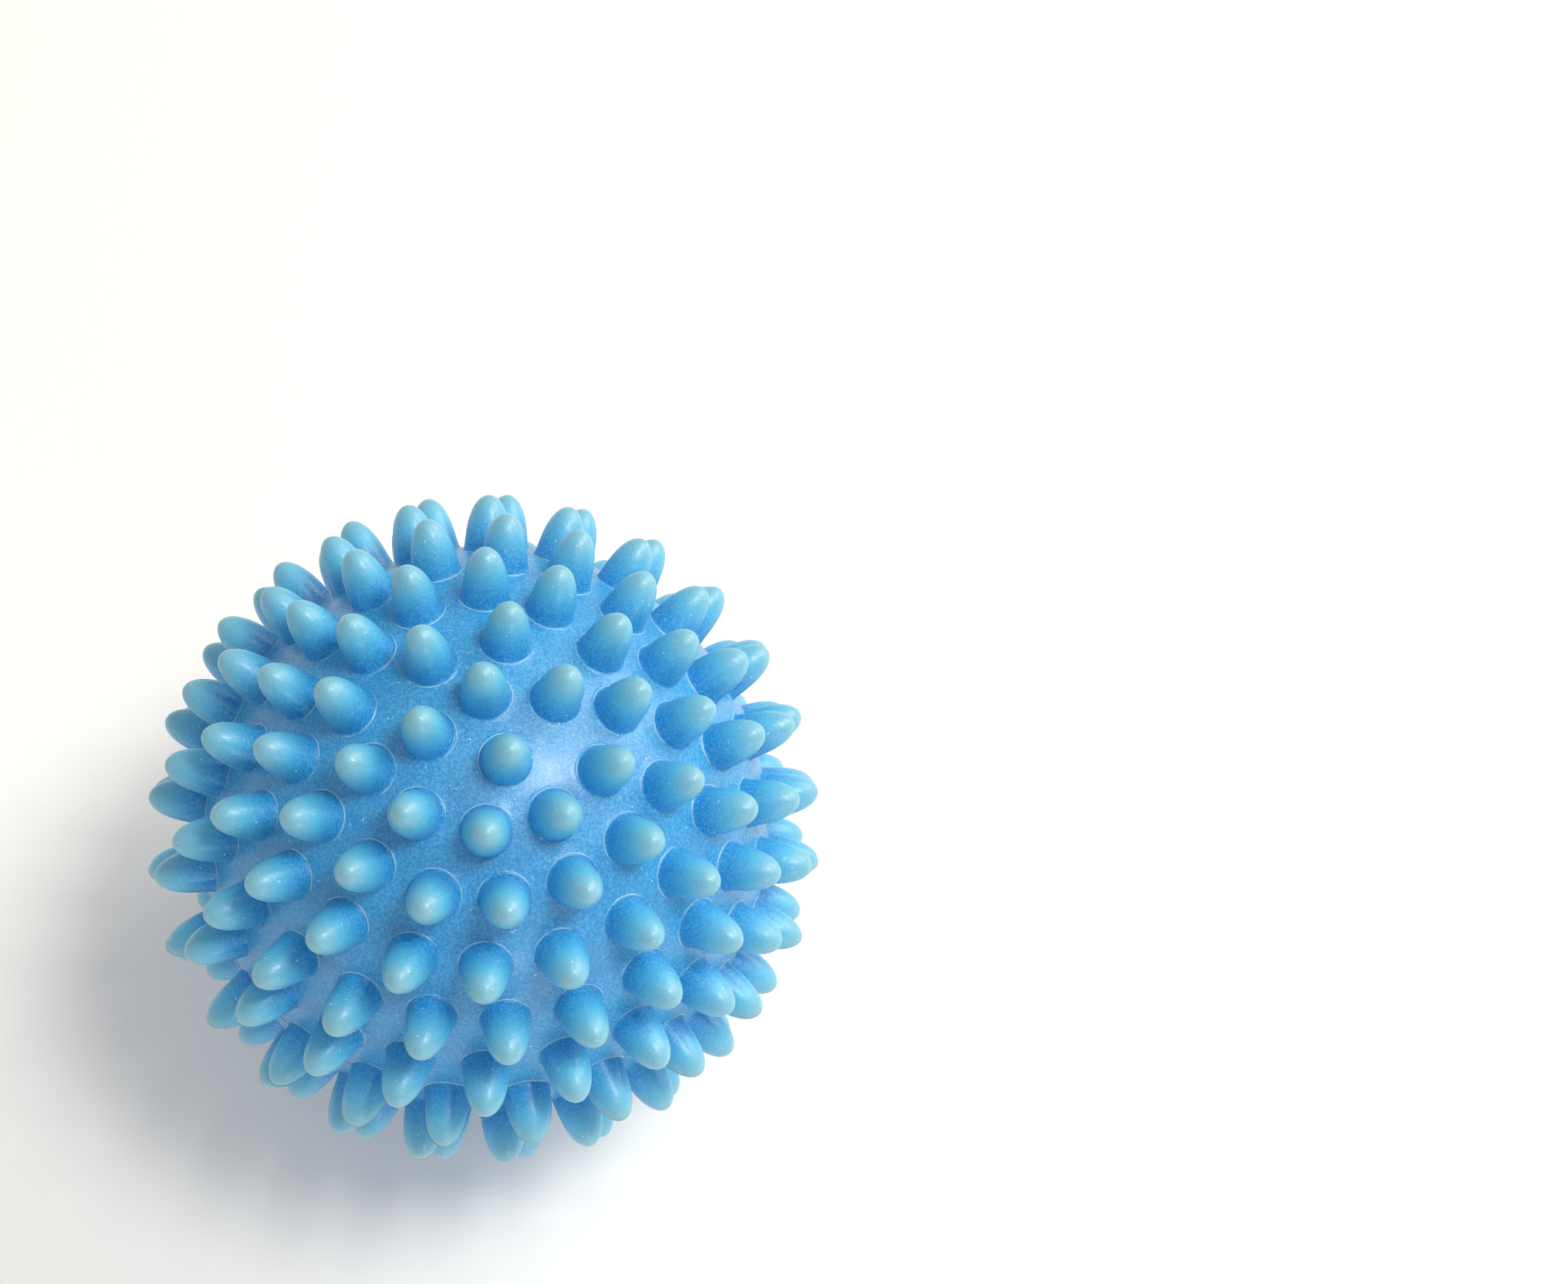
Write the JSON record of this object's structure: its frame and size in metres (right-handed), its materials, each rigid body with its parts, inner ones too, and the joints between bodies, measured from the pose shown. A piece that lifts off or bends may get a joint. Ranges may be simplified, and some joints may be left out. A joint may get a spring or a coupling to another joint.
{
  "type": "dryer ball",
  "caption": "Hollow soft plastic laundry dryer ball, moulded as an upper and a lower shell welded round the middle, covered in blunt radial nubs, with a vent plug.",
  "frame": {"origin": "centre of the ball", "axes": "+Z along the axis of the rings of nubs, away from the vent plug, at right angles to the seam"},
  "size_m": [0.0644, 0.0644, 0.0642],
  "materials": {
    "ball_plastic": "satin, finely blasted soft plastic",
    "seam_plastic": "satin weld bead",
    "plug_plastic": "satin soft plastic"
  },
  "bodies": {
    "ball": {"upper_shell": "ball_plastic", "lower_shell": "ball_plastic", "seam_bead": "seam_plastic"},
    "plug": {"vent_plug": "plug_plastic"}
  },
  "joints": [
    {"name": "plug_pull", "type": "slide", "parent": "ball", "child": "plug", "axis": [0, 0, -1], "range_m": [0, 0.005]}
  ]
}
